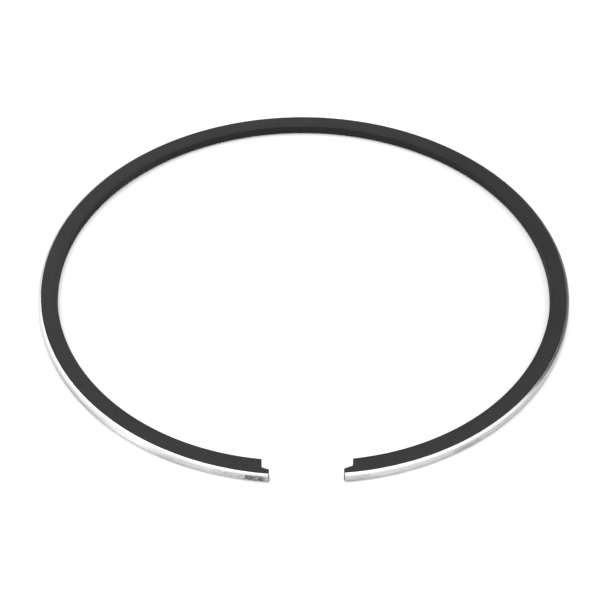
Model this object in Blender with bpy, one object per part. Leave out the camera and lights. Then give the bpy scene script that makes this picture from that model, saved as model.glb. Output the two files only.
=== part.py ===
"""Compression ring for a small two-stroke piston, lying flat as it is when out of the engine.

The ring is one piece of spring metal. Sprung open, it isn't a circle: it is the shape that, once
squeezed into the cylinder, presses on the wall evenly all the way round. Both ends are notched on
their bore side for the locating pin in the piston's groove. Its running face is slightly barrelled
and is rounded into both side faces, more into the upper one.

Units are metres. +Z is up, the gap faces -Y, and the ring lies on z = 0, centred on its outline.
"""
import math

import bpy
import bmesh
import numpy as np

# Driving dimensions of the ring
CYLINDER_BORE = 0.058
RADIAL_WALL = 0.0022
RING_HEIGHT = 0.0012
CLOSED_GAP = 0.00025
FREE_GAP = 0.00794

# Edges of the section
UPPER_FACE_ROUND = 0.00036
LOWER_FACE_ROUND = 0.00025
FACE_BARREL = 0.000015
UPPER_BORE_CHAMFER = 0.00003
LOWER_BORE_CHAMFER = 0.00025

# Notch for the locating pin in the left end, seen from the gap
LEFT_NOTCH_LENGTH = 0.00079
LEFT_TONGUE_AT_TIP = 0.00088
LEFT_TONGUE_AT_ROOT = 0.00104
LEFT_ROOT_LEAN = math.radians(6.5)
LEFT_ROOT_FILLET = 0.00011

# Notch for the locating pin in the right end, cut a little longer and shallower
RIGHT_NOTCH_LENGTH = 0.00098
RIGHT_TONGUE_AT_TIP = 0.00095
RIGHT_TONGUE_AT_ROOT = 0.00125
RIGHT_ROOT_LEAN = math.radians(10.0)
RIGHT_ROOT_FILLET = 0.00006

# Broken corners of both notches, and of both ends on the running face
NOTCH_BORE_BREAK = 0.00010
TONGUE_TIP_BREAK = 0.00006
END_FACE_BREAK = 0.00010

# Fineness of the model
STATIONS = 241
ROUND_STEPS = 6
BARREL_STEPS = 4
FILLET_STEPS = 5
SMOOTH_ANGLE = math.radians(30)
WELD_SHARE = 0.01

# Colours and finish
PHOSPHATE_COLOUR = (0.052, 0.052, 0.054, 1.0)
LAPPED_COLOUR = (0.62, 0.61, 0.59, 1.0)
GROUND_COLOUR = (0.36, 0.35, 0.34, 1.0)

# The middle of the wall when the ring is closed, and how far round it each end then reaches
MEAN_RADIUS = (CYLINDER_BORE - RADIAL_WALL) / 2
END_ANGLE = math.pi - CLOSED_GAP / (2 * MEAN_RADIUS)

# How far the sweep runs past each end before the gap is cut
TRIM_LENGTH = RADIAL_WALL / 4


def clear_scene():
    for item in list(bpy.data.objects):
        bpy.data.objects.remove(item, do_unlink=True)


def new_collection(name):
    collection = bpy.data.collections.new(name)
    bpy.context.scene.collection.children.link(collection)
    return collection


def metal(name, colour, metallic, roughness):
    material = bpy.data.materials.new(name)
    material.use_nodes = True
    shader = material.node_tree.nodes["Principled BSDF"]
    shader.inputs["Base Color"].default_value = colour
    shader.inputs["Metallic"].default_value = metallic
    shader.inputs["Roughness"].default_value = roughness
    material.diffuse_color = colour
    return material


def phosphate_coat():
    return metal("phosphate_coat", PHOSPHATE_COLOUR, 0.25, 0.62)


def lapped_face():
    return metal("lapped_face", LAPPED_COLOUR, 1.0, 0.28)


def ground_end():
    return metal("ground_end", GROUND_COLOUR, 1.0, 0.42)


def turning_angle(phi, spring):
    """Direction of the ring at phi, which is measured round the closed ring from opposite the gap.

    Closed, the ring has turned by phi. Free, each short length of it is straighter by
    spring * (1 + cos(phi)), which gives even pressure on the cylinder when it is closed.
    """
    return phi - spring * (phi + np.sin(phi))


def neutral_line(spring, end_angle):
    """Points along the middle of the free ring's wall, and the ring's direction at each.

    The middle point, opposite the gap, is the origin.
    """
    phi = np.linspace(-end_angle, end_angle, STATIONS)
    step = phi[1] - phi[0]
    between = turning_angle((phi[1:] + phi[:-1]) / 2, spring)
    x = np.concatenate([[0.0], np.cumsum(np.cos(between))]) * MEAN_RADIUS * step
    y = np.concatenate([[0.0], np.cumsum(-np.sin(between))]) * MEAN_RADIUS * step
    return x - x[STATIONS // 2], y - y[STATIONS // 2], turning_angle(phi, spring)


def spring_for_gap():
    """The spring value that opens the ends to FREE_GAP, found by halving a range."""
    low, high = 0.0, 0.3
    for _ in range(50):
        middle = (low + high) / 2
        x, _, _ = neutral_line(middle, END_ANGLE)
        if x[-1] - x[0] < FREE_GAP:
            low = middle
        else:
            high = middle
    return middle


def free_ring():
    """The free ring: its neutral line run a little past both ends, and where its ends are.

    The end faces are parallel to Y, so each leans from square to the ring by end_lean. The
    outline, from the back of the ring to the broken outer corners of its ends, is centred on the
    origin, and front is where those corners would be if they were sharp.
    """
    spring = spring_for_gap()
    _, y, direction = neutral_line(spring, END_ANGLE)
    end_lean = math.pi - direction[-1]
    back = RADIAL_WALL / 2
    front = y[-1] - RADIAL_WALL / 2 / math.cos(end_lean)
    broken = END_FACE_BREAK * math.tan(end_lean) / (1 + math.tan(end_lean))
    centre = (back + front + broken) / 2
    end_y = y[-1] - centre
    x, y, direction = neutral_line(spring, END_ANGLE + TRIM_LENGTH / MEAN_RADIUS)
    return {
        "x": x, "y": y - centre, "direction": direction,
        "end_y": end_y, "end_lean": end_lean, "front": front - centre}


def edge_round(face, height, radius, start):
    """A quarter round that ends or begins at the running face, turning anticlockwise from start."""
    points = []
    for i in range(ROUND_STEPS + 1):
        angle = start + math.pi / 2 * i / ROUND_STEPS
        points.append((face + radius * (math.cos(angle) - 1), height + radius * math.sin(angle)))
    return points


def section_points():
    """The ring's section, as (distance out from the neutral line, height), anticlockwise."""
    bore = -RADIAL_WALL / 2
    face = RADIAL_WALL / 2 - FACE_BARREL
    low, high = LOWER_FACE_ROUND, RING_HEIGHT - UPPER_FACE_ROUND
    points = [(bore + LOWER_BORE_CHAMFER, 0.0)]
    points += edge_round(face, low, LOWER_FACE_ROUND, -math.pi / 2)
    for i in range(1, BARREL_STEPS):
        share = i / BARREL_STEPS
        bulge = FACE_BARREL * (1 - (2 * share - 1) ** 2)
        points.append((face + bulge, low + (high - low) * share))
    points += edge_round(face, high, UPPER_FACE_ROUND, 0.0)
    points.append((bore + UPPER_BORE_CHAMFER, RING_HEIGHT))
    points.append((bore, RING_HEIGHT - UPPER_BORE_CHAMFER))
    points.append((bore, LOWER_BORE_CHAMFER))
    return points


def poly_curve(name, points, cyclic, dimensions):
    curve = bpy.data.curves.new(name, "CURVE")
    curve.dimensions = dimensions
    spline = curve.splines.new("POLY")
    spline.points.add(len(points) - 1)
    for point, place in zip(spline.points, points):
        point.co = (place[0], place[1], 0.0, 1.0)
    spline.use_cyclic_u = cyclic
    return curve


def link_guide(item, collection):
    item.hide_render = True
    item.display_type = "WIRE"
    collection.objects.link(item)
    return item


def curve_to_mesh(item, name):
    """The mesh of a curve object as it is evaluated, with its caps welded to its sides."""
    bpy.context.view_layer.update()
    evaluated = item.evaluated_get(bpy.context.evaluated_depsgraph_get())
    mesh = bpy.data.meshes.new_from_object(evaluated)
    mesh.name = name
    shell = bmesh.new()
    shell.from_mesh(mesh)
    bmesh.ops.remove_doubles(shell, verts=shell.verts, dist=WELD_SHARE * UPPER_BORE_CHAMFER)
    bmesh.ops.recalc_face_normals(shell, faces=shell.faces)
    shell.to_mesh(mesh)
    shell.free()
    place = item.matrix_world.copy()
    bpy.data.objects.remove(item, do_unlink=True)
    solid = bpy.data.objects.new(name, mesh)
    solid.matrix_world = place
    return solid


def swept_ring(ring, collection, guides):
    """The section carried along the neutral line.

    The path runs from the right end round to the left one, anticlockwise seen from above, so that
    the section's first axis points away from the bore.
    """
    section = poly_curve("ring_section", section_points(), True, "2D")
    section.fill_mode = "NONE"
    guide = link_guide(bpy.data.objects.new("ring_section", section), guides)
    path = poly_curve("ring_path", list(zip(ring["x"][::-1], ring["y"][::-1])), False, "3D")
    path.twist_mode = "Z_UP"
    path.bevel_mode = "OBJECT"
    path.bevel_object = guide
    path.use_fill_caps = True
    sweep = bpy.data.objects.new("ring_path", path)
    collection.objects.link(sweep)
    solid = curve_to_mesh(sweep, "piston_ring")
    collection.objects.link(solid)
    return solid


def notch_outline(length, tip, root, lean, fillet, end_lean):
    """The cut-out in one end, as (distance along the ring from its end, distance out from the bore).

    The floor runs from the tip to the root, the root face leans back towards the bore, and a
    fillet joins them. Both corners that the notch leaves on the ring are broken.
    """
    past = RADIAL_WALL / 2
    floor_tip = RADIAL_WALL - tip
    floor_root = RADIAL_WALL - root
    end_face = -math.tan(end_lean) * (floor_tip - RADIAL_WALL / 2)
    slope = math.atan2(floor_tip - floor_root, length - end_face)
    along_floor = np.array([-math.cos(slope), math.sin(slope)])
    down_root = np.array([math.sin(lean), -math.cos(lean)])
    corner = np.array([length, floor_root])
    opening = math.acos(float(along_floor @ down_root))
    centre = corner + (along_floor + down_root) * fillet / math.sin(opening)
    reach = fillet / math.tan(opening / 2)
    start = corner + along_floor * reach - centre
    end = corner + down_root * reach - centre
    first = math.atan2(start[1], start[0])
    turn = math.atan2(start[0] * end[1] - start[1] * end[0], float(start @ end))
    bore_corner = corner + down_root * (floor_root - NOTCH_BORE_BREAK) / math.cos(lean)
    break_start = end_face + TONGUE_TIP_BREAK
    points = [
        (-past, -past),
        (-past, floor_tip + past + break_start),
        (break_start, floor_tip - TONGUE_TIP_BREAK * math.tan(slope)),
    ]
    for i in range(FILLET_STEPS + 1):
        angle = first + turn * i / FILLET_STEPS
        points.append((centre[0] + fillet * math.cos(angle), centre[1] + fillet * math.sin(angle)))
    points.append((bore_corner[0], bore_corner[1]))
    points.append((bore_corner[0] + NOTCH_BORE_BREAK + past, -past))
    return points


def plan_prism(name, outline, collection):
    """A prism with a given outline in plan, twice as high as the ring and centred on its height."""
    curve = poly_curve(name, outline, True, "2D")
    curve.fill_mode = "BOTH"
    curve.extrude = RING_HEIGHT
    prism = bpy.data.objects.new(name, curve)
    prism.location.z = RING_HEIGHT / 2
    collection.objects.link(prism)
    return link_guide(curve_to_mesh(prism, name), collection)


def notch_cutter(name, ring, side, outline, collection):
    """A prism through the ring's height, laid out from one end; side is -1 or 1, as X is."""
    lean = ring["end_lean"]
    along = np.array([side * math.cos(lean), math.sin(lean)])
    out = np.array([side * math.sin(lean), -math.cos(lean)])
    bore = np.array([side * FREE_GAP / 2, ring["end_y"]]) - out * RADIAL_WALL / 2
    places = [bore + along * s + out * t for s, t in outline]
    return plan_prism(name, places, collection)


def gap_cutter(ring, collection):
    """A prism as wide as the free gap, which leaves the end faces parallel.

    It flares where it meets the running face, which breaks the outer corner of each end.
    """
    past = RADIAL_WALL / 2
    side = [
        (FREE_GAP / 2, ring["end_y"] + RADIAL_WALL),
        (FREE_GAP / 2, ring["front"] + END_FACE_BREAK),
        (FREE_GAP / 2 + END_FACE_BREAK + past, ring["front"] - past),
    ]
    outline = side + [(-x, y) for x, y in side[::-1]]
    return plan_prism("gap_block", outline, collection)


def cut(solid, cutter):
    modifier = solid.modifiers.new(cutter.name, "BOOLEAN")
    modifier.operation = "DIFFERENCE"
    modifier.solver = "EXACT"
    modifier.material_mode = "TRANSFER"
    modifier.object = cutter


def paint(solid, ring):
    """Dark coat on the sides and the bore, bare metal on the running face and the end faces."""
    x, y, direction = ring["x"], ring["y"], ring["direction"]
    mesh = solid.data
    for material in (phosphate_coat(), lapped_face(), ground_end()):
        mesh.materials.append(material)
    face_starts = RADIAL_WALL / 2 - FACE_BARREL - UPPER_FACE_ROUND
    for face in mesh.polygons:
        nearest = np.argmin((x - face.center.x) ** 2 + (y - face.center.y) ** 2)
        out = np.array([math.sin(direction[nearest]), math.cos(direction[nearest])])
        offset = (face.center.x - x[nearest]) * out[0] + (face.center.y - y[nearest]) * out[1]
        if len(face.vertices) > 4:
            face.material_index = 2
        elif offset > face_starts and face.normal.z > -0.999:
            face.material_index = 1
    mesh.shade_smooth()
    mesh.set_sharp_from_angle(angle=SMOOTH_ANGLE)


def build():
    clear_scene()
    parts = new_collection("piston_ring_model")
    guides = new_collection("guides")
    ring = free_ring()
    solid = swept_ring(ring, parts, guides)
    paint(solid, ring)
    left = notch_outline(
        LEFT_NOTCH_LENGTH, LEFT_TONGUE_AT_TIP, LEFT_TONGUE_AT_ROOT,
        LEFT_ROOT_LEAN, LEFT_ROOT_FILLET, ring["end_lean"])
    right = notch_outline(
        RIGHT_NOTCH_LENGTH, RIGHT_TONGUE_AT_TIP, RIGHT_TONGUE_AT_ROOT,
        RIGHT_ROOT_LEAN, RIGHT_ROOT_FILLET, ring["end_lean"])
    cutters = [
        gap_cutter(ring, guides),
        notch_cutter("left_notch", ring, -1, left, guides),
        notch_cutter("right_notch", ring, 1, right, guides),
    ]
    for cutter in cutters:
        cutter.data.materials.append(solid.data.materials["ground_end"])
        cut(solid, cutter)


build()
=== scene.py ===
# %% [markdown]
# # A piston ring as one worked-out surface
# The object is a compression ring for a small two-stroke engine. It is a thin strip of spring
# metal, dark on its flat sides and bright on the face that rubs the cylinder, and it lies open at
# its gap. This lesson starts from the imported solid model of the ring, and dresses it with one
# finer surface that has the same sizes, with procedural finishes, soft light and a camera.

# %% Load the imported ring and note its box
import math

import bpy
import numpy as np
from mathutils import Matrix, Vector


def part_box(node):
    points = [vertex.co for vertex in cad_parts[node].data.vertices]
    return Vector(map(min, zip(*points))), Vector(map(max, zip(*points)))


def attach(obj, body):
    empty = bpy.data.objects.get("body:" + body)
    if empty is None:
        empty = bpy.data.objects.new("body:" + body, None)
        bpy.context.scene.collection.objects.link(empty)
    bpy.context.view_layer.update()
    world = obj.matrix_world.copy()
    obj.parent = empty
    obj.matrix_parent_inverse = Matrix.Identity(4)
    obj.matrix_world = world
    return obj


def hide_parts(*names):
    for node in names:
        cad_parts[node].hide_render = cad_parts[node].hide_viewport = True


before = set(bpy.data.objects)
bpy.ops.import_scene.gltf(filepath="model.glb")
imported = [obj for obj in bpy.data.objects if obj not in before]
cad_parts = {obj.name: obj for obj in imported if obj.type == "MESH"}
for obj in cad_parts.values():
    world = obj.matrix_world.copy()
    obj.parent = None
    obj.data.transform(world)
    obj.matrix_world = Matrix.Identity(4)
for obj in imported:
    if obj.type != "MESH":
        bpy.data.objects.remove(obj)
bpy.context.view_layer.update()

print("nodes:", list(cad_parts))

# %% [markdown]
# ## The sizes
# A ring is known by the bore that it is made for, by its height and by the thickness of its wall.
# These are the same numbers as in the solid model, in metres. The gap has two sizes: the small
# one that is left in the cylinder, and the wide one that the ring springs open to on a table.
# The outer corners of its ends are broken by a tenth of a millimetre.

# %% The ring's sizes
CYLINDER_BORE = 0.058
RADIAL_WALL = 0.0022
RING_HEIGHT = 0.0012
CLOSED_GAP = 0.00025
FREE_GAP = 0.00794
END_BREAK = 0.00010

MEAN_RADIUS = (CYLINDER_BORE - RADIAL_WALL) / 2
END_ANGLE = math.pi - CLOSED_GAP / (2 * MEAN_RADIUS)
HALF_LENGTH = END_ANGLE * MEAN_RADIUS
print("length round the middle of the wall, mm:", round(2000 * HALF_LENGTH, 2))

# %% [markdown]
# ## The free shape
# A ring that was simply a circle with a piece cut out would press on the cylinder at three points
# only. A real one is wound a little straighter, most of all at the back, so that once it is
# squeezed shut it presses evenly all the way round. The shape could be drawn by eye as a Bezier
# curve. Working it out is shorter, and both ends come out right: the direction of the ring is
# written as a formula, and running sums of its cosine and sine give the places. Last, the ring is
# centred on the origin between its back and the broken corners in front, as the solid one is.

# %% The middle line of the free ring
GRID = np.linspace(-1.02, 1.02, 20401) * END_ANGLE


def direction_at(phi, spring):
    """The closed ring has turned by phi; the free one by phi - spring * (phi + sin(phi))."""
    return phi - spring * (phi + np.sin(phi))


def middle_line(spring):
    """Places on GRID: the running sums of (cos, -sin) of the direction, times the step's length."""
    between = direction_at((GRID[1:] + GRID[:-1]) / 2, spring)
    steps = np.diff(GRID) * MEAN_RADIUS
    x = np.concatenate([[0.0], np.cumsum(np.cos(between) * steps)])
    y = np.concatenate([[0.0], np.cumsum(-np.sin(between) * steps)])
    back = len(GRID) // 2
    return x - x[back], y - y[back]


def gap_of(spring):
    """How far apart the ends are: twice the x that the middle line has at END_ANGLE."""
    return 2 * np.interp(END_ANGLE, GRID, middle_line(spring)[0])


low, high = 0.0, 0.3
for _ in range(50):
    spring = (low + high) / 2
    low, high = (spring, high) if gap_of(spring) < FREE_GAP else (low, spring)

line_x, line_y = middle_line(spring)
end_lean = math.pi - direction_at(END_ANGLE, spring)
end_y = np.interp(END_ANGLE, GRID, line_y)
corner_loss = END_BREAK * math.tan(end_lean) / (1 + math.tan(end_lean))
line_y = line_y - (RADIAL_WALL / 2 + end_y - RADIAL_WALL / 2 / math.cos(end_lean) + corner_loss) / 2
print("straightened by", round(spring, 5), "- ends lean", round(math.degrees(end_lean), 2), "degrees")

# %% [markdown]
# ## From flat strip to ring
# Everything that follows is drawn on a straight flat strip, where it is easy: `along` runs from
# the left end (negative) through the back (0) to the right end, and `out` is the distance from
# the middle of the wall. One function then bends the strip round the middle line, as a coiling
# machine bends the real wire. A Curve modifier could do this too, but here the same formula also
# serves to check sizes.

# %% Bending the strip round the middle line
def bend(along, out):
    """Middle line at along, plus out times the outward normal (sin, cos) of the direction there."""
    phi = along / MEAN_RADIUS
    turn = direction_at(phi, spring)
    x = np.interp(phi, GRID, line_x) + out * np.sin(turn)
    y = np.interp(phi, GRID, line_y) + out * np.cos(turn)
    return x, y


tip_x, tip_y = bend(np.array([-HALF_LENGTH, HALF_LENGTH]), np.zeros(2))
print("ends at x, mm:", (tip_x * 1000).round(3).tolist(), "y, mm:", (tip_y * 1000).round(3).tolist())

# %% [markdown]
# ## The notch in each end
# A small pin stands in the piston's groove and keeps the ring from turning, so that its ends never
# catch on a port. Each end is milled away on the bore side to clear that pin, and a thin tongue is
# left. The notch's outline has a root face, a rounded inner corner, and a floor that slopes a
# little. A boolean cut would leave long thin triangles here. Instead the whole surface follows an
# inner path that dips round the notch, and an outer path that runs straight past it.

# %% A path with rounded corners
def rounded_path(corners, radii, spacing):
    """Straight lines joined by arcs.

    At a corner that turns by a, an arc of radius r starts and ends r * tan(a / 2) away from it.
    Gives the points, and the unit direction at each.
    """
    corners = np.array(corners)
    headings = np.diff(corners, axis=0)
    headings /= np.linalg.norm(headings, axis=1)[:, None]
    points, directions = [corners[:1]], [headings[:1]]
    start = corners[0]
    for corner, radius, before, after in zip(corners[1:-1], radii, headings, headings[1:]):
        turn = math.atan2(before[0] * after[1] - before[1] * after[0], before @ after)
        reach = radius * math.tan(abs(turn) / 2)
        arc_start = corner - before * reach
        share = np.linspace(0, 1, max(2, round(np.linalg.norm(arc_start - start) / spacing)))[1:-1]
        points.append(start + share[:, None] * (arc_start - start))
        directions.append(np.repeat(before[None], len(share), 0))
        swept = turn * np.linspace(0, 1, max(5, round(abs(turn) / math.radians(7))))
        side = np.array([-before[1], before[0]]) * math.copysign(1, turn)
        around = np.sin(np.abs(swept))[:, None] * before - np.cos(swept)[:, None] * side
        points.append(arc_start + radius * (side + around))
        directions.append(np.cos(swept)[:, None] * before + np.sin(np.abs(swept))[:, None] * side)
        start = points[-1][-1]
    share = np.linspace(0, 1, max(2, round(np.linalg.norm(corners[-1] - start) / spacing)))[1:]
    points.append(start + share[:, None] * (corners[-1] - start))
    directions.append(np.repeat(headings[-1][None], len(share), 0))
    return np.concatenate(points), np.concatenate(directions)


test_points, _ = rounded_path([(0.0, 0.0), (1.0, 0.0), (1.0, 1.0)], (0.25,), 0.1)
print("points on a test path of two lines and an arc:", len(test_points))

# %% [markdown]
# ## The stations of one end
# A station is a line across the strip, from its inner edge to its outer one. Near an end the inner
# points follow the notch's path and the outer ones run straight, so the stations fan out round the
# notch. The last six close the end with a rounded edge, as tumbling leaves it. A Bevel modifier
# could round these edges too, but each would have to be marked, and here the edge has to be
# rounder towards the lower outer corner.

# %% Both ends
END_ZONE = 0.0020
BORE_CORNER_ROUND = 0.00011
TIP_EDGE = 0.00005
OUTER_EDGE = 0.00012
LOW_CORNER = 0.00028
FLAT_EDGE = 0.00003
CLOSING_STEPS = 6
PATH_SPACING = 0.00003
SLOPE_CLEAR = 0.00006
SLOPE_FADE = 0.0002
TOUCHING = 1e-6


def end_plane(out):
    """How far the end face lies from the strip's end: it leans, so -tan(end_lean) * out."""
    return -math.tan(end_lean) * out


def end_stations(length, tongue_at_tip, tongue_at_root, root_lean, root_fillet):
    """Lines across the strip near one end, from the notch's outline to the running face.

    The inner points are a rounded path: bore, root face, floor. The outer points are spread in
    step with the distance covered on the inner path. The last few stations close the end with
    rounded edges: edge * (1 - sin) short of the end face, pulled in by edge * (1 - cos).
    """
    half = RADIAL_WALL / 2
    root, tip = half - tongue_at_root, half - tongue_at_tip
    foot = length + (root + half) * math.tan(root_lean)
    corners = [
        (END_ZONE, -half), (foot, -half), (length, root),
        (end_plane(tip) + TIP_EDGE, tip)]
    points, directions = rounded_path(corners, (BORE_CORNER_ROUND, root_fillet), PATH_SPACING)
    covered = np.concatenate([[0.0], np.cumsum(np.linalg.norm(np.diff(points, axis=0), axis=1))])
    share = covered / covered[-1]
    outer = END_ZONE + share * (end_plane(half) + LOW_CORNER - END_ZONE)
    past_foot = np.clip((points[:, 0] - foot - SLOPE_CLEAR) / SLOPE_FADE, 0, 1)
    on_bore = past_foot * (points[:, 1] < -half + TOUCHING)
    quarter = np.linspace(0, math.pi / 2, CLOSING_STEPS + 1)[1:]
    turned = np.append(np.zeros(len(share)), quarter)

    def held(values):
        """The values, and then the last one again for each closing station."""
        return np.append(values, np.repeat(values[-1], CLOSING_STEPS))

    return {
        "inner": held(points[:, 0]),
        "inner_out": held(points[:, 1]),
        "normal": held(directions[:, 1]),
        "normal_out": held(-directions[:, 0]),
        "outer": held(outer),
        "lean": held(share),
        "bore": held(on_bore),
        "pulled": 1 - np.cos(turned),
        "short": 1 - np.sin(turned),
        "closed": np.where(np.arange(len(turned)) >= len(share) - 1, 1.0, 0.0),
    }


left_end = end_stations(
    length=0.00079, tongue_at_tip=0.00088, tongue_at_root=0.00104,
    root_lean=math.radians(6.5), root_fillet=0.00011)
right_end = end_stations(
    length=0.00098, tongue_at_tip=0.00095, tongue_at_root=0.00125,
    root_lean=math.radians(10.0), root_fillet=0.00006)
print("stations at the left end:", len(left_end["inner"]), "- at the right:", len(right_end["inner"]))

# %% [markdown]
# ## One strip from end to end
# Between the two ends the ring is plain, so its stations stand square to the strip and about
# 0.25 mm apart. Putting the three stretches in one row of numbers means that the surface has no
# joins at all.

# %% Joining the three stretches
PLAIN_STATIONS = 700


def joined(name, plain, kind=""):
    """Left end from its tip inwards, the plain middle, then the right end towards its tip.

    A place is a distance from the nearer tip: it becomes `along`, which is -HALF_LENGTH + place on
    the left and HALF_LENGTH - place on the right. A slant changes its sign on the right.
    """
    left, right = left_end[name][::-1], right_end[name]
    if kind == "place":
        left, right = left - HALF_LENGTH, HALF_LENGTH - right
    elif kind == "slant":
        right = -right
    return np.concatenate([left, plain, right])


middle = np.linspace(-HALF_LENGTH + END_ZONE, HALF_LENGTH - END_ZONE, PLAIN_STATIONS + 2)[1:-1]
none, full = np.zeros(PLAIN_STATIONS), np.ones(PLAIN_STATIONS)
strip = {
    "inner": joined("inner", middle, "place"),
    "outer": joined("outer", middle, "place"),
    "inner_out": joined("inner_out", none - RADIAL_WALL / 2),
    "normal": joined("normal", none, "slant"),
    "normal_out": joined("normal_out", full),
    "lean": joined("lean", none),
    "bore": joined("bore", full),
    "pulled": joined("pulled", none),
    "short": joined("short", full),
    "closed": joined("closed", none),
}
end_side = np.sign(strip["outer"])
print("stations in all:", len(strip["inner"]))

# %% [markdown]
# ## The section
# Cut the ring through and its section is a small rectangle, 2.2 by 1.2 mm. The maker rounds the
# upper outer edge generously, so that it rides over the ports, and the lower one a little less.
# The running face between them is very slightly barrelled. At the bore the upper edge is only
# broken, and the lower one has a slope. The columns below go round that section once. Each column
# knows how far across it stands (0 at the bore, 1 at the running face), how far it is set in from
# either edge, and how high it is.

# %% The columns of the section
UPPER_ROUND = 0.00036
LOWER_ROUND = 0.00025
BARREL = 0.000015
BORE_UPPER = 0.00003
BORE_LOWER = 0.00020
NOTCH_EDGE = 0.00003
SLOPE_END = 1.12


def columns():
    """Rows of (across, set in from the face, height, upper bore edge, lower bore edge, part).

    The two bore edges are given as (set in, height) shares of their own size, because they shrink
    in the notch. The lower one is a slope whose two corners are eased, from SLOPE_END on one side
    to SLOPE_END on the other. Parts: 0 underside, 1 running face with its rounds, 2 upper side,
    3 bore.
    """
    quarter = np.linspace(0, math.pi / 2, 5)[1:-1]
    turn = np.linspace(0, math.pi / 2, 17)
    low_turn = np.linspace(0, math.pi / 2, 13)[1:-1]
    share = np.linspace(0, 1, 9)[1:-1]
    slope = np.array([
        (0.012, 1.04), (0.05, 0.96), (0.12, 0.88), (0.88, 0.12), (0.96, 0.05), (1.04, 0.012)])
    rim = np.array([0.0, 0.05, 0.12, 0.3, 0.5, 0.7, 0.88, 0.95, 1.0])
    low, high = LOWER_ROUND, RING_HEIGHT - UPPER_ROUND
    rows = []

    def add(part, across, inset=0.0, height=0.0, up_in=0.0, up_z=0.0, low_in=0.0, low_z=0.0):
        """One row for each column; a single number is repeated to match the longest list."""
        size = max(np.size(v) for v in (across, inset, height, up_in, up_z, low_in, low_z))
        given = (across, inset, height, up_in, up_z, low_in, low_z, part)
        rows.append(np.stack([np.broadcast_to(v, size) for v in given], 1))

    add(0, rim, LOWER_ROUND + BARREL, 0.0, low_in=SLOPE_END)
    add(1, 1.0, BARREL + LOWER_ROUND * (1 - np.sin(low_turn)), LOWER_ROUND * (1 - np.cos(low_turn)))
    add(1, 1.0, BARREL, low)
    add(1, 1.0, BARREL * (2 * share - 1) ** 2, low + (high - low) * share)
    add(1, 1.0, BARREL + UPPER_ROUND * (1 - np.cos(turn)), high + UPPER_ROUND * np.sin(turn))
    add(2, rim[::-1][1:], BARREL + UPPER_ROUND, RING_HEIGHT, up_in=1.0)
    add(3, 0.0, 0.0, RING_HEIGHT, up_in=1 - np.sin(quarter), up_z=np.cos(quarter) - 1)
    add(3, 0.0, 0.0, RING_HEIGHT, up_z=-1.0)
    add(3, 0.0, 0.0, RING_HEIGHT / 2)
    add(3, 0.0, 0.0, 0.0, low_z=SLOPE_END)
    add(3, 0.0, 0.0, 0.0, low_in=slope[:, 0], low_z=slope[:, 1])
    return np.concatenate(rows)


column = dict(zip(("across", "inset", "height", "up_in", "up_z", "low_in", "low_z", "part"), columns().T))
print("columns round the section:", len(column["across"]))

# %% [markdown]
# ## The grid of points
# Every station is crossed with every column at once. An inner point stands on the notch's outline
# or the bore, an outer one on the running face, and a column between them is a mix of the two.
# The closing stations shrink the section a little towards its middle, which rounds the edges of
# the end faces. Two small things are taken from the photograph: the wall is a twentieth of a
# millimetre thinner at the back than at the sides, and thicker by as much in front, and the lower
# outer edge is worn a little higher at the right end.

# %% Stations times columns
BORE_SHIFT = 0.00005
LOW_REACH = 0.0005
CORNER_RISE = 0.00012
WORN_LENGTH = 0.0045
WORN_RISE = 0.00014


def ring_grid():
    """Places of all stations x columns: (1 - across) * inner point + across * outer point.

    Closing stations map out and height in by edge * pulled on each side, and stand edge * short
    off the end plane. Lowness is 1 at the lower outer edge and 0 from LOW_REACH up: it widens the
    closing edge, and lifts the worn edge at the right end. At the bore the wall changes by
    BORE_SHIFT * cos(phi), and at the running face not at all.
    """
    half = RADIAL_WALL / 2
    one = {k: v[:, None] for k, v in strip.items()}
    side = end_side[:, None]
    up = NOTCH_EDGE + (BORE_UPPER - NOTCH_EDGE) * one["bore"]
    down = NOTCH_EDGE + (BORE_LOWER - NOTCH_EDGE) * one["bore"]
    set_in = up * column["up_in"] + down * column["low_in"]
    height = column["height"] + up * column["up_z"] + down * column["low_z"]
    inset = np.broadcast_to(column["inset"], height.shape)
    inner_along = one["inner"] + one["normal"] * set_in
    inner_out = one["inner_out"] + one["normal_out"] * set_in
    outer_along = one["outer"] - side * one["lean"] * math.tan(end_lean) * inset
    along = (1 - column["across"]) * inner_along + column["across"] * outer_along
    out = (1 - column["across"]) * inner_out + column["across"] * (half - inset)

    low_out = one["inner_out"]
    share = np.clip((out - low_out) / (half - low_out), 0, 1)
    lowness = share * np.clip(1 - height / LOW_REACH, 0, 1) ** 1.5
    edge = TIP_EDGE + (OUTER_EDGE - TIP_EDGE) * share + (LOW_CORNER - OUTER_EDGE) * lowness
    room = 1 - (TIP_EDGE + OUTER_EDGE) * one["pulled"] / (half - low_out)
    closed_out = low_out + TIP_EDGE * one["pulled"] + (out - low_out) * room
    up_share = height / RING_HEIGHT
    lift = (FLAT_EDGE + CORNER_RISE * lowness) * (1 - up_share) - FLAT_EDGE * up_share
    closed_height = height + lift * one["pulled"]
    closed_along = side * (HALF_LENGTH - end_plane(closed_out) - edge * one["short"])
    out = np.where(one["closed"] > 0, closed_out, out)
    height = np.where(one["closed"] > 0, closed_height, height)
    along = np.where(one["closed"] > 0, closed_along, along)
    near_tip = np.clip((along - HALF_LENGTH + WORN_LENGTH) / WORN_LENGTH, 0, 1)
    height = height + WORN_RISE * near_tip * lowness
    out = out + BORE_SHIFT * np.cos(along / MEAN_RADIUS) * (half - out) / RADIAL_WALL
    x, y = bend(along, out)
    return np.stack([x, y, height], 2), along, out


places, along, out = ring_grid()
print("grid:", places.shape, "highest, mm:", round(places[..., 2].max() * 1000, 3))

# %% [markdown]
# ## Putting the grid into a mesh
# Neighbouring stations and columns make four-sided faces, and a fan from the middle closes each
# end face. Building them one by one in bmesh would be slow, so they are worked out as rows of
# point numbers, and from_pydata takes them all at once.

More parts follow.
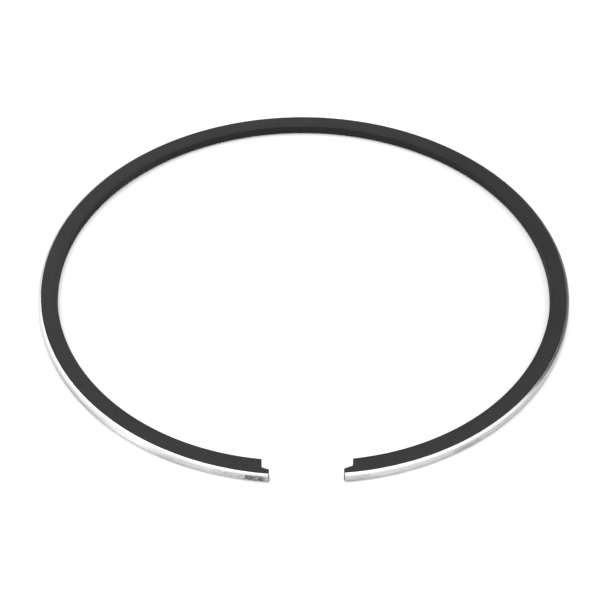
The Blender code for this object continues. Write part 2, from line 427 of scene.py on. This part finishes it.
# %% The ring's mesh
def ring_faces(count, around):
    """Quads (i, j), (i, j+1), (i+1, j+1), (i+1, j), and fans that close both ends."""
    i, j = np.meshgrid(np.arange(count - 1), np.arange(around), indexing="ij")
    i, j = i.ravel(), j.ravel()
    after = (j + 1) % around
    here, beyond = i * around, (i + 1) * around
    quads = np.stack([here + j, here + after, beyond + after, beyond + j], 1)
    ring = np.arange(around)
    turned = (ring + 1) % around
    last = (count - 1) * around
    first_fan = np.stack([turned, ring, np.full(around, count * around)], 1)
    last_fan = np.stack([last + ring, last + turned, np.full(around, count * around + 1)], 1)
    return quads, first_fan, last_fan, i, j


count, around = along.shape
quads, first_fan, last_fan, quad_i, quad_j = ring_faces(count, around)
points = np.concatenate([places.reshape(-1, 3), places[:1].mean(1), places[-1:].mean(1)])
faces = quads.tolist() + first_fan.tolist() + last_fan.tolist()
ring_mesh = bpy.data.meshes.new("ring_surface")
ring_mesh.from_pydata(points.tolist(), [], faces)
ring_surface = bpy.data.objects.new("ring_surface", ring_mesh)
bpy.context.scene.collection.objects.link(ring_surface)
print("faces:", len(faces), "- bad geometry mended:", ring_mesh.validate())

# %% [markdown]
# ## Where a finish is on the ring
# A finish has to know its place. A UV map in millimetres, along the ring and round its section,
# lets a pattern follow the strip wherever it bends. A value called `rim` is 1 on the edges of the
# flat sides and fades out in a tenth of a millimetre. Both come from the same numbers as the mesh,
# so nothing has to be unwrapped or painted.

# %% The ring's map and its rim value
RIM_FADE = 0.0001


def section_distance():
    """Distance round the plain section at each column, and once round: sums of the chord lengths."""
    plain = len(strip["inner"]) // 2
    loop = np.stack([out[plain], places[plain, :, 2]], 1)
    chords = np.linalg.norm(np.roll(loop, -1, 0) - loop, axis=1)
    return np.concatenate([[0.0], np.cumsum(chords)])


def rim_values():
    """1 - d / RIM_FADE, never below 0, d being the distance from the nearer edge of a flat side."""
    first, last = out[:, column["across"] == 0], out[:, column["across"] == 1]
    edge_in, edge_out = first.max(1)[:, None], (RADIAL_WALL / 2 - BARREL - UPPER_ROUND)
    near = np.minimum(np.abs(out - edge_in), np.abs(out - edge_out))
    flat = (column["part"] == 2) | (column["part"] == 0)
    return np.where(flat, np.clip(1 - near / RIM_FADE, 0, 1), 0.0)


round_section = section_distance()
step_i = np.array([0, 0, 1, 1])
step_j = np.array([0, 1, 1, 0])
corner_i = quad_i[:, None] + step_i
corner_j = quad_j[:, None] + step_j
corner_u = along[corner_i, corner_j % around] * 1000
corner_v = round_section[corner_j] * 1000
half_way = np.full(around, round_section[-1] / 2)
fan_v = np.stack([round_section[1:], round_section[:-1], half_way], 1) * 1000
fan_u = np.full((around, 3), HALF_LENGTH * 1000)
uv = np.concatenate([
    np.stack([corner_u.ravel(), corner_v.ravel()], 1),
    np.stack([-fan_u.ravel(), fan_v.ravel()], 1),
    np.stack([fan_u.ravel(), fan_v.ravel()], 1)])
ring_mesh.uv_layers.new(name="ring_map").uv.foreach_set("vector", uv.astype(np.float32).ravel())

rim = np.concatenate([rim_values().ravel(), [0.0, 0.0]])
ring_mesh.attributes.new("rim", "FLOAT", "POINT").data.foreach_set("value", rim.astype(np.float32))

bore_map = round_section[:-1][column["part"] == 3] * 1000
face_map = round_section[:-1][column["part"] == 1] * 1000
BORE_START = float(bore_map.min())
FACE_LOW, FACE_TOP = float(face_map.min()), float(face_map.max())
print("length of the map, mm:", round(float(np.ptp(uv[:, 0])), 2))
print("round the section, mm:", round(float(round_section[-1] * 1000), 3))
print("on the map, mm: face", round(FACE_LOW, 3), "to", round(FACE_TOP, 3))
print("on the map, mm: bore from", round(BORE_START, 3))

# %% [markdown]
# ## Which finish each face has
# On the real ring the running face is bare, the flat sides and the bore are coated, and the
# notches, the end faces and most of their rounded edges are ground. Faces could be picked by hand.
# But here each face knows its station and its column, so the choice is a comparison of numbers.

# %% A finish for each face
COAT, FACE, END = 0, 1, 2
CUT_FROM = 0.12
SHARP_FROM = math.radians(35)

part_of = np.append(column["part"][1:], 3)[quad_j]
finish = np.where(part_of == 1, FACE, COAT)
in_notch = (strip["inner_out"] > -RADIAL_WALL / 2 + TOUCHING)[quad_i] & (part_of == 3)
closing = (strip["closed"][quad_i] * strip["closed"][quad_i + 1]) > 0
far_round = np.maximum(strip["pulled"][quad_i], strip["pulled"][quad_i + 1]) > CUT_FROM
finish[in_notch | (closing & (part_of == 3)) | (closing & far_round)] = END
finish = np.concatenate([finish, np.full(2 * around, END)])
ring_mesh.polygons.foreach_set("material_index", finish.astype(np.int32))
ring_mesh.shade_smooth()
ring_mesh.set_sharp_from_angle(angle=SHARP_FROM)
print("faces of the coat, the running face and the ends:", np.bincount(finish).tolist())

# %% [markdown]
# ## Helpers for materials
# A finish is built from nodes. Typing each node and link by hand is long, so three short
# helpers make a node with its settings, start a node group, and put a group into a tree.

# %% Node helpers
def add_node(tree, kind, settings=None, inputs=None):
    """Adds a node, sets its properties from settings and its sockets from inputs."""
    node = tree.nodes.new(kind)
    for name, value in (settings or {}).items():
        setattr(node, name, value)
    for name, value in (inputs or {}).items():
        socket = node.inputs[name]
        if isinstance(value, bpy.types.NodeSocket):
            tree.links.new(value, socket)
        else:
            socket.default_value = value
    return node


def new_group(name, takes, gives):
    """A shader node group: inputs (name: socket type and default), outputs (name: socket type)."""
    tree = bpy.data.node_groups.new(name, "ShaderNodeTree")
    for label, (kind, value) in takes.items():
        socket = tree.interface.new_socket(label, in_out="INPUT", socket_type=kind)
        if value is not None:
            socket.default_value = value
    for label, kind in gives.items():
        tree.interface.new_socket(label, in_out="OUTPUT", socket_type=kind)
    return tree, tree.nodes.new("NodeGroupInput"), tree.nodes.new("NodeGroupOutput")


def place_group(tree, group, inputs):
    """A node that uses a group, with its own values."""
    return add_node(tree, "ShaderNodeGroup", {"node_tree": group}, inputs)


print("helpers:", add_node.__name__, new_group.__name__, place_group.__name__)

# %% [markdown]
# ## Marks that run round the ring
# Grinding and lapping leave fine marks along the ring's length. A noise pattern that is squeezed
# across and stretched along gives them, but only if it follows the ring, so it reads the UV map
# and not the object's own axes. The dark sides, the bright face and the ground ends all show such
# marks at their own scale, so this is one node group that each finish places with its own values.

# %% Group: drawn marks
FLOAT, VECTOR = "NodeSocketFloat", "NodeSocketVector"

drawn_marks, takes, gives = new_group(
    "drawn_marks",
    {"Map": (VECTOR, None), "Per mm along": (FLOAT, 1.0), "Per mm across": (FLOAT, 8.0),
     "Detail": (FLOAT, 3.0)},
    {"Value": FLOAT})
scale = add_node(drawn_marks, "ShaderNodeCombineXYZ", inputs={
    "X": takes.outputs["Per mm along"], "Y": takes.outputs["Per mm across"]})
stretched = add_node(drawn_marks, "ShaderNodeVectorMath", {"operation": "MULTIPLY"}, {
    0: takes.outputs["Map"], 1: scale.outputs[0]})
marks = add_node(drawn_marks, "ShaderNodeTexNoise", {"noise_dimensions": "2D"}, {
    "Vector": stretched.outputs[0], "Scale": 1.0, "Detail": takes.outputs["Detail"], "Roughness": 0.55})
drawn_marks.links.new(marks.outputs["Fac"], gives.inputs["Value"])


def marks_of(tree, place, along, across, detail):
    """Places drawn_marks: noise with so many features along and across in a unit of the place."""
    group = place_group(tree, drawn_marks, {
        "Map": place, "Per mm along": along, "Per mm across": across, "Detail": detail})
    return group.outputs["Value"]


print("group:", drawn_marks.name)

# %% [markdown]
# ## Spots and clouds
# Real surfaces are never even: the phosphate coat is made of tiny crystals that grew in patches,
# and the ground ends came out of the tumbler duller in some places than in others. A photograph
# could be wrapped round them, but two noises of different size stay sharp however close one looks.
# The pattern reads object coordinates, so it doesn't stretch.

# %% Group: clouds and grain
cloud_grain, takes, gives = new_group(
    "cloud_grain",
    {"Place": (VECTOR, None), "Cloud per m": (FLOAT, 300.0), "Grain per m": (FLOAT, 20000.0)},
    {"Cloud": FLOAT, "Grain": FLOAT})
cloud = add_node(cloud_grain, "ShaderNodeTexNoise", {}, {
    "Vector": takes.outputs["Place"], "Scale": takes.outputs["Cloud per m"],
    "Detail": 3.0, "Roughness": 0.6})
grain = add_node(cloud_grain, "ShaderNodeTexNoise", {}, {
    "Vector": takes.outputs["Place"], "Scale": takes.outputs["Grain per m"],
    "Detail": 2.0, "Roughness": 0.7})
cloud_grain.links.new(cloud.outputs["Fac"], gives.inputs["Cloud"])
cloud_grain.links.new(grain.outputs["Fac"], gives.inputs["Grain"])


def clouds_of(tree, place, clouds, grains):
    """Places cloud_grain: two noises, with so many features each in a unit of the place."""
    group = place_group(tree, cloud_grain, {
        "Place": place, "Cloud per m": clouds, "Grain per m": grains})
    return group.outputs["Cloud"], group.outputs["Grain"]


print("group:", cloud_grain.name)

# %% [markdown]
# ## Arithmetic with patterns
# A finish is mostly arithmetic: each pattern is mapped to a small range round 1, and they are
# multiplied. Each step is one node, so the functions below are named for what they do, and a
# finish reads like a sum. The hump is 1 at one place and fades out on either side of it. With it a
# finish can change on one stretch of the ring only, where a painted mask would need an image.

# %% Helpers: starting a finish
def new_finish(name):
    """A material, its tree and its shader."""
    material = bpy.data.materials.new(name)
    material.use_nodes = True
    tree = material.node_tree
    return material, tree, tree.nodes["Principled BSDF"]


def ring_chart(tree):
    """The ring's UV map: millimetres along the ring, and round its section."""
    return add_node(tree, "ShaderNodeUVMap", {"uv_map": "ring_map"}).outputs["UV"]


def object_place(tree):
    """Object coordinates, in metres."""
    return add_node(tree, "ShaderNodeTexCoord").outputs["Object"]


def parts_of(tree, vector):
    """The X and Y of a vector."""
    split = add_node(tree, "ShaderNodeSeparateXYZ", inputs={"Vector": vector})
    return split.outputs["X"], split.outputs["Y"]


def bumped(tree, shader, height, strength, distance):
    """Gives the shader a bump: the height pattern, distance metres deep, times strength."""
    bump = add_node(tree, "ShaderNodeBump", inputs={
        "Strength": strength, "Distance": distance, "Height": height})
    tree.links.new(bump.outputs["Normal"], shader.inputs["Normal"])


print("helpers:", new_finish.__name__, ring_chart.__name__, bumped.__name__)

# %% Helpers: arithmetic
def stretch(tree, value, low, high, to_low, to_high):
    """Maps a value from low..high to to_low..to_high and holds it there."""
    node = add_node(tree, "ShaderNodeMapRange", {"clamp": True}, {
        "Value": value, "From Min": low, "From Max": high, "To Min": to_low, "To Max": to_high})
    return node.outputs["Result"]


def calculated(tree, operation, a, b):
    """The result of a Math node."""
    return add_node(tree, "ShaderNodeMath", {"operation": operation}, {0: a, 1: b}).outputs[0]


def times(tree, a, b):
    """a times b."""
    return calculated(tree, "MULTIPLY", a, b)


def plus(tree, a, b):
    """a plus b."""
    return calculated(tree, "ADD", a, b)


def minus(tree, a, b):
    """a less b."""
    return calculated(tree, "SUBTRACT", a, b)


def tinted(tree, colour, value):
    """A colour times a grey value."""
    node = add_node(tree, "ShaderNodeVectorMath", {"operation": "SCALE"}, {0: colour, "Scale": value})
    return node.outputs[0]


def hump(tree, value, centre, reach):
    """1 at centre, falling smoothly to 0 at reach on either side."""
    away = calculated(tree, "ABSOLUTE", minus(tree, value, centre), 0.0)
    node = add_node(tree, "ShaderNodeMapRange", {"interpolation_type": "SMOOTHSTEP"}, {
        "Value": away, "From Min": 0.0, "From Max": reach, "To Min": 1.0, "To Max": 0.0})
    return node.outputs["Result"]


print("helpers:", stretch.__name__, times.__name__, hump.__name__)

# %% [markdown]
# ## The dark coat
# The sides and the bore carry a manganese phosphate coat: a dull, nearly black layer of crystals
# that holds oil. It scatters light evenly and hardly shines, so the specular level is low. Under
# it the circular marks of side grinding still show faintly. It is a shade darker along the edges,
# where oil stays. In the bore and on the right of the upper side its colour is darker still, and
# that is painted shade, for the lesser light that reaches there.

# %% Finish: phosphate coat
COAT_COLOUR = (0.041, 0.0405, 0.041)
COAT_SPECULAR = 0.12

coat, tree, shader = new_finish("phosphate_coat")
chart = ring_chart(tree)
along_ring, round_it = parts_of(tree, chart)
cloud, grain = clouds_of(tree, object_place(tree), 420.0, 22000.0)
grinding = marks_of(tree, chart, 0.7, 14.0, 4.0)
rim_value = add_node(tree, "ShaderNodeAttribute", {"attribute_name": "rim"}).outputs["Fac"]
shade = stretch(tree, cloud, 0.3, 0.7, 0.93, 1.07)
shade = times(tree, shade, stretch(tree, grain, 0.25, 0.75, 0.86, 1.14))
shade = times(tree, shade, stretch(tree, grinding, 0.3, 0.7, 0.95, 1.05))
shade = times(tree, shade, stretch(tree, rim_value, 0.0, 1.0, 1.0, 0.86))
off_bore = stretch(tree, round_it, BORE_START, BORE_START + 0.02, 1.0, 0.0)
# painted shade: the colour is darker in the bore, where less light reaches
shade = times(tree, shade, stretch(tree, off_bore, 0.0, 1.0, 0.78, 1.0))
# painted shade: the upper side is a little darker on the right, where less light falls
painted_shade_right = stretch(tree, hump(tree, along_ring, 36.0, 34.0), 0.0, 0.6, 0.0, 0.17)
shade = times(tree, shade, minus(tree, 1.0, times(tree, painted_shade_right, off_bore)))
tree.links.new(tinted(tree, COAT_COLOUR, shade), shader.inputs["Base Color"])
tree.links.new(stretch(tree, grain, 0.3, 0.7, 0.58, 0.78), shader.inputs["Roughness"])
shader.inputs["Specular IOR Level"].default_value = COAT_SPECULAR
bumped(tree, shader, grain, strength=0.35, distance=0.000008)
print("finish:", coat.name)

# %% [markdown]
# ## The bright running face
# This face is lapped against the cylinder, so it is bare bright metal. Lapping leaves it smooth
# but not a mirror: fine marks run round the ring, and long blotches are a little duller. The dark
# coat reaches a little over both rounded edges, with a ragged border. Near the left end there is a
# dark smudge, and elsewhere a few fainter ones. Noise alone would put such marks anywhere, and a
# plain soft spot would look painted. So each mark is a flat-topped hump, along and across the
# face, that is added to noise, and the sum is cut off at a level.

# %% Patterns and marks on the running face
TIP = HALF_LENGTH * 1000

lapped, tree, shader = new_finish("lapped_face")
chart = ring_chart(tree)
along_ring, up_face = parts_of(tree, chart)
fine = marks_of(tree, chart, 1.6, 26.0, 3.0)
blotch = marks_of(tree, chart, 1.1, 4.0, 4.0)
cross = marks_of(tree, chart, 7.0, 2.6, 2.0)
blobs = marks_of(tree, chart, 2.3, 3.0, 3.0)


def stain(tree, place, half_length, height, half_height, pattern):
    """How much of a mark there is: pattern + hump / 2, from 0 at 0.82 to 1 at 1.06.

    The hump is flat-topped, along the face times across it, and its sizes are in millimetres.
    """
    beside = stretch(tree, hump(tree, along_ring, place, half_length), 0.0, 0.5, 0.0, 1.0)
    across = stretch(tree, hump(tree, up_face, FACE_LOW + height, half_height), 0.0, 0.5, 0.0, 0.5)
    return stretch(tree, plus(tree, times(tree, beside, across), pattern), 0.82, 1.06, 0.0, 1.0)


smudge = stain(tree, -TIP + 1.40, 1.75, 0.65, 0.60, plus(tree, blobs, 0.05))
specks = stain(tree, -TIP + 3.6, 3.6, 0.78, 0.52, blobs)
dull = stain(tree, TIP - 13.6, 2.8, 0.60, 0.56, blotch)
cloudy = stain(tree, TIP - 1.8, 1.3, 0.78, 0.40, blobs)
print("from the middle of the ring to either tip, mm:", round(TIP, 2))

# %% [markdown]
# ## How bright the bare metal is
# The patterns and the marks meet in one grey value that the metal's colour is multiplied by.
# Streaks across the face, long blotches and fine marks each move it a little to either side of 1,
# and each mark darkens it down to a share of its own. A stack of Mix nodes could do this too, but
# a product keeps every effect on its own line.

# %% The grey value of the face
below_round = stretch(tree, up_face, FACE_TOP - 0.52, FACE_TOP - 0.44, 1.0, 0.0)
streaks = stretch(tree, hump(tree, along_ring, TIP - 7.0, 2.6), 0.0, 1.0, 0.16, 0.42)
wear = plus(tree, times(tree, minus(tree, cross, 0.5), streaks), 1.0)
wear = times(tree, wear, stretch(tree, blotch, 0.3, 0.7, 0.90, 1.08))
wear = plus(tree, times(tree, minus(tree, wear, 1.0), below_round), 1.0)
shade = times(tree, wear, stretch(tree, fine, 0.3, 0.7, 0.96, 1.04))
dim_stretch = hump(tree, along_ring, -TIP + 11.0, 4.5)
face_marks = [(smudge, 0.30), (dim_stretch, 0.90), (specks, 0.76), (dull, 0.66), (cloudy, 0.80)]
for mark, darkest in face_marks:
    shade = times(tree, shade, stretch(tree, mark, 0.0, 1.0, 1.0, darkest))
shade = times(tree, shade, stretch(tree, along_ring, -TIP + 2.4, -TIP + 3.8, 0.92, 1.0))
print("marks on the face:", len(face_marks))

# %% [markdown]
# ## Where the coat ends
# The face was not lapped evenly, so a strip of coat is left along both of its edges, and it is
# wider in some stretches than in others. Along the lower edge that strip is also painted shade, for
# the darker foot where the ring meets the floor. Two materials side by side would meet in a hard
# straight line. So one shader changes over instead: the border is a distance from either edge that
# changes slowly along the ring, and the blotches make it ragged.

# %% Finish: lapped face
METAL_COLOUR = (0.69, 0.688, 0.685)
EDGE_COAT_COLOUR = (0.034, 0.034, 0.0345, 1.0)

coated_above = stretch(tree, along_ring, -TIP, -TIP + 11.0, 0.075, 0.0)
coated_above = minus(tree, coated_above, times(tree, hump(tree, along_ring, -62.0, 20.0), 0.02))
coated_above = plus(tree, coated_above, times(tree, hump(tree, along_ring, 58.0, 17.0), 0.035))
# coat along the lower edge, and with it painted shade at the foot: narrow at the left tip, widest round
# the middle, gone at the right tip
coat_and_painted_shade_below = minus(tree, stretch(tree, along_ring, -TIP, -TIP + 40.0, 0.03, 0.10),
                     stretch(tree, along_ring, 40.0, TIP, 0.0, 0.11))
ragged = stretch(tree, blotch, 0.3, 0.7, 0.042, 0.060)
past_upper = minus(tree, minus(tree, FACE_TOP, up_face), plus(tree, coated_above, ragged))
past_lower = minus(tree, minus(tree, up_face, FACE_LOW), plus(tree, ragged, coat_and_painted_shade_below))
bare = times(tree, stretch(tree, past_upper, -0.008, 0.008, 0.0, 1.0),
             stretch(tree, past_lower, -0.012, 0.012, 0.0, 1.0))
mixed = add_node(tree, "ShaderNodeMix", {"data_type": "RGBA"}, {
    "Factor": bare, 6: EDGE_COAT_COLOUR, 7: tinted(tree, METAL_COLOUR, shade)})
tree.links.new(mixed.outputs[2], shader.inputs["Base Color"])
roughness = stretch(tree, blotch, 0.3, 0.7, 0.20, 0.12)
roughness = plus(tree, roughness, stretch(tree, bare, 0.0, 1.0, 0.4, 0.0))
tree.links.new(roughness, shader.inputs["Roughness"])
tree.links.new(bare, shader.inputs["Metallic"])
shader.inputs["Specular IOR Level"].default_value = COAT_SPECULAR
bumped(tree, shader, fine, strength=0.08, distance=0.000004)
print("finish:", lapped.name)

# %% [markdown]
# ## The ground ends
# The two end faces and the notches are cut after coating and then tumbled, so they are dark grey
# metal: neither as black as the sides nor as bright as the face. Their marks run across the ring,
# the way the wheel went through, so the pattern reads object coordinates. Those are in metres,
# which is why the same group gets numbers here that are a thousand times larger.

# %% Finish: ground ends
GROUND_COLOUR = (0.085, 0.083, 0.082)

ends, tree, shader = new_finish("ground_end")
spot = object_place(tree)
strokes = marks_of(tree, spot, 900.0, 26000.0, 3.0)
cloud, grain = clouds_of(tree, spot, 1500.0, 30000.0)
shade = stretch(tree, strokes, 0.3, 0.7, 0.8, 1.2)
shade = times(tree, shade, stretch(tree, cloud, 0.3, 0.7, 0.85, 1.15))
tree.links.new(tinted(tree, GROUND_COLOUR, shade), shader.inputs["Base Color"])
tree.links.new(stretch(tree, grain, 0.3, 0.7, 0.38, 0.55), shader.inputs["Roughness"])
shader.inputs["Metallic"].default_value = 0.8
bumped(tree, shader, strokes, strength=0.3, distance=0.000006)
for finish_material in (coat, lapped, ends):
    ring_mesh.materials.append(finish_material)
print("finish:", ends.name)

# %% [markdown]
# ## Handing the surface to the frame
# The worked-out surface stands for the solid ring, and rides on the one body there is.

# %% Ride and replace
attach(ring_surface, "root")
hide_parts("piston_ring")
lowest, highest = np.array(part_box("piston_ring"))
mine = points.min(0), points.max(0)
print("surface less solid, low, mm:", ((mine[0] - lowest) * 1000).round(4))
print("surface less solid, high, mm:", ((mine[1] - highest) * 1000).round(4))

# %% [markdown]
# ## The floor
# The ring lies on plain white paper, so the floor is one flat square at the height of the ring's
# underside, and wide enough to fill the view. A curved backdrop would do as well, but nothing of
# its curve would show from above. The floor isn't part of the object.

# %% Floor
FLOOR_REACH = 3.0

floor_mesh = bpy.data.meshes.new("floor")
corner = np.array([[-1, -1, 0], [1, -1, 0], [1, 1, 0], [-1, 1, 0]]) * FLOOR_REACH
floor_mesh.from_pydata(corner.tolist(), [], [(0, 1, 2, 3)])
floor = bpy.data.objects.new("floor", floor_mesh)
bpy.context.scene.collection.objects.link(floor)
print("floor reaches, m:", FLOOR_REACH)

# %% [markdown]
# ## What each kind of ray sees
# A lit floor is never evenly white, and more light on it would bleach the ring too. Instead the
# floor and the world answer each kind of ray with its own white: one for the camera, one for rays
# that come from the shiny metal, and a plain one for light that was scattered by something dull.

# %% Helpers: white by kind of ray
def unless_dulled(tree, path, value, even):
    """even + first * (value - even), first being 1 for a ray that hasn't yet met anything dull."""
    first = calculated(tree, "LESS_THAN", path.outputs["Diffuse Depth"], 0.5)
    return plus(tree, times(tree, first, minus(tree, value, even)), even)


def by_ray(tree, path, camera, glossy, diffuse):
    """Camera, glossy or diffuse, as the ray is, and 1 for a ray that comes through glass."""
    level = times(tree, path.outputs["Is Camera Ray"], camera)
    level = plus(tree, level, times(tree, path.outputs["Is Glossy Ray"], glossy))
    level = plus(tree, level, path.outputs["Is Transmission Ray"])
    return plus(tree, level, times(tree, path.outputs["Is Diffuse Ray"], diffuse))


print("helpers:", unless_dulled.__name__, by_ray.__name__)

# %% [markdown]
# ## The paper
# The camera sees a paper that is whiter than real paper, and the ring's own shadow still darkens
# it. A painted shadow is added to that white near the ring: it is less white on the left and the
# right of the ring than in the middle and far out, a little paler inside on the left, and outside
# it goes from greyer on the left to paler on the right. The bright face mirrors mostly this floor.
# The paper round the real ring was lit unevenly, and its mirror image shows that, so rays that come
# from the metal see a white with painted light and shadow, which changes from left to right. From
# below, the floor is clear.

# %% Finish: floor paper
PAPER_WHITE = 0.6
BESIDE_RING = 0.0303

paper = bpy.data.materials.new("floor_paper")
paper.use_nodes = True
tree = paper.node_tree
tree.nodes.clear()
path = add_node(tree, "ShaderNodeLightPath")
floor_spot = object_place(tree)
across_floor = parts_of(tree, floor_spot)[0]
length = add_node(tree, "ShaderNodeVectorMath", {"operation": "LENGTH"}, {0: floor_spot})
from_middle = length.outputs["Value"]

mirrored = plus(tree, stretch(tree, across_floor, 0.013, 0.019, 0.15, 0.0),
                stretch(tree, across_floor, 0.0288, 0.0314, 1.08, 0.40))
for centre, reach, gain in ((-0.0192, 0.0046, 0.48), (-0.0257, 0.0056, -0.38)):
    mirrored = plus(tree, mirrored, times(tree, hump(tree, across_floor, centre, reach), gain))
dim_middle = stretch(tree, hump(tree, across_floor, 0.0, 0.009), 0.0, 0.5, 0.0, 0.20)
mirrored = minus(tree, mirrored, dim_middle)
off_ring = stretch(tree, from_middle, 0.0308, 0.0312, 0.0, 0.46)
mirrored = plus(tree, mirrored, times(tree, hump(tree, across_floor, -0.0252, 0.0052), off_ring))

# painted shadow in the camera's white: less white to the left and the right of the ring, whiter far out
white_with_painted_shadow = minus(tree, stretch(tree, across_floor, -0.022, -0.012, 1.38, 1.5),
             stretch(tree, across_floor, 0.010, 0.022, 0.0, 0.14))
white_with_painted_shadow = plus(tree, white_with_painted_shadow, stretch(tree, from_middle, 0.035, 0.060, 0.0, 0.14))
inside = stretch(tree, from_middle, 0.0282, 0.0288, 1.0, 0.0)
painted_light_inside_left = stretch(tree, across_floor, -0.0265, -0.0215, 0.15, 0.0)
white_with_painted_shadow = plus(tree, white_with_painted_shadow, times(tree, inside, painted_light_inside_left))
# painted shadow beside the ring: greyer outside on the left, paler outside on the right
beside = plus(tree, stretch(tree, across_floor, -0.015, -0.010, -0.15, 0.0),
              stretch(tree, across_floor, 0.002, 0.008, 0.0, 0.14))
white_with_painted_shadow = plus(tree, white_with_painted_shadow, times(tree, hump(tree, from_middle, BESIDE_RING, 0.0013), beside))

whiteness = by_ray(tree, path, white_with_painted_shadow, unless_dulled(tree, path, mirrored, PAPER_WHITE), PAPER_WHITE)
lit = add_node(tree, "ShaderNodeBsdfDiffuse", inputs={
    "Color": tinted(tree, (1.0, 1.0, 1.0), whiteness)})
clear = add_node(tree, "ShaderNodeBsdfTransparent")
behind = add_node(tree, "ShaderNodeNewGeometry").outputs["Backfacing"]
sides = add_node(tree, "ShaderNodeMixShader", inputs={
    0: behind, 1: lit.outputs[0], 2: clear.outputs[0]})
add_node(tree, "ShaderNodeOutputMaterial", inputs={"Surface": sides.outputs[0]})
floor_mesh.materials.append(paper)
print("floor:", paper.name)

# %% [markdown]
# ## The light
# The photograph was lit as small bright parts are: in a tent of white cloth. The world is that
# tent, plain white to the camera. Rays that come from the metal see it brighter, with an opening at
# the back right, where the metal mirrors something dark, and with two dim folds at the back. Each
# of these is a patch round one direction. Real cloth panels round the ring could do this, but they
# would stand in the way of the other views.

# %% World
TENT_FOR_METAL = 1.47
TENT_FOR_DULL = 0.72

world = bpy.data.worlds.new("tent")
bpy.context.scene.world = world
world.use_nodes = True
tree = world.node_tree
tree.nodes.clear()
path = add_node(tree, "ShaderNodeLightPath")
towards = add_node(tree, "ShaderNodeTexCoord").outputs["Generated"]


def dim_patch(direction, outer, inner, share):
    """1 away from a direction, share close to it: smoothstep of the dot product, outer to inner."""
    facing = add_node(tree, "ShaderNodeVectorMath", {"operation": "DOT_PRODUCT"}, {
        0: towards, 1: direction})
    node = add_node(tree, "ShaderNodeMapRange", {"interpolation_type": "SMOOTHSTEP"}, {
        "Value": facing.outputs["Value"], "From Min": outer, "From Max": inner,
        "To Min": 1.0, "To Max": share})
    return node.outputs["Result"]


opening = dim_patch((0.725, 0.631, 0.276), 0.77, 0.90, 0.13)
left_fold = dim_patch((-0.445, 0.863, 0.24), 0.92, 0.985, 0.52)
right_fold = dim_patch((0.305, 0.937, 0.17), 0.93, 0.985, 0.78)
mirrored = times(tree, times(tree, times(tree, opening, TENT_FOR_METAL), left_fold), right_fold)
level = by_ray(tree, path, 1.0, unless_dulled(tree, path, mirrored, 1.0), TENT_FOR_DULL)
sky = add_node(tree, "ShaderNodeBackground", inputs={"Color": (1, 1, 1, 1), "Strength": level})
add_node(tree, "ShaderNodeOutputWorld", inputs={"Surface": sky.outputs[0]})
print("world:", world.name)

# %% [markdown]
# ## The lamp
# One soft lamp, above and a little to the left, gives the sides their slight fall of light and the
# floor its shadow. A small lamp would draw that shadow with a hard edge, so this one is a square
# about as wide as it stands high.

# %% Lamp
def soft_lamp(name, place, size, watts):
    """A square area lamp that looks at the origin."""
    lamp = bpy.data.lights.new(name, "AREA")
    lamp.shape = "SQUARE"
    lamp.size = size
    lamp.energy = watts
    item = bpy.data.objects.new(name, lamp)
    item.location = place
    item.rotation_mode = "QUATERNION"
    item.rotation_quaternion = item.location.to_track_quat("Z", "Y")
    bpy.context.scene.collection.objects.link(item)
    return item


left_lamp = soft_lamp("left_lamp", place=(-0.06, 0.02, 0.20), size=0.22, watts=0.126)
print("lamp:", left_lamp.name)

# %% [markdown]
# ## The camera
# The camera's place was found from the photograph: the ellipses of the ring's edges fix how high
# it stands and how strong the perspective is. It stands about 25 cm away and 44 degrees up, with
# a long lens.

# %% Camera
CAMERA_PLACE = Vector((-0.00266429, -0.17855499, 0.17263961))
VIEW_RIGHT = Vector((0.99995391, -0.00878953, 0.0038628)).normalized()
VIEW_UP = Vector((0.00338281, 0.69908874, 0.71502692))
LENS_MM = 128.85
SENSOR_MM = 36.0

camera_data = bpy.data.cameras.new("photo_camera")
camera_data.sensor_width = SENSOR_MM
camera_data.lens = LENS_MM
camera_data.clip_start = 0.01
camera_data.clip_end = 20.0
camera = bpy.data.objects.new("photo_camera", camera_data)
bpy.context.scene.collection.objects.link(camera)
up = (VIEW_UP - VIEW_RIGHT * VIEW_UP.dot(VIEW_RIGHT)).normalized()
turned = Matrix((VIEW_RIGHT, up, VIEW_RIGHT.cross(up))).transposed()
camera.matrix_world = Matrix.Translation(CAMERA_PLACE) @ turned.to_4x4()
bpy.context.scene.camera = camera
bpy.context.scene.view_settings.view_transform = "Standard"
print("camera stands, m:", [round(v, 4) for v in camera.location])
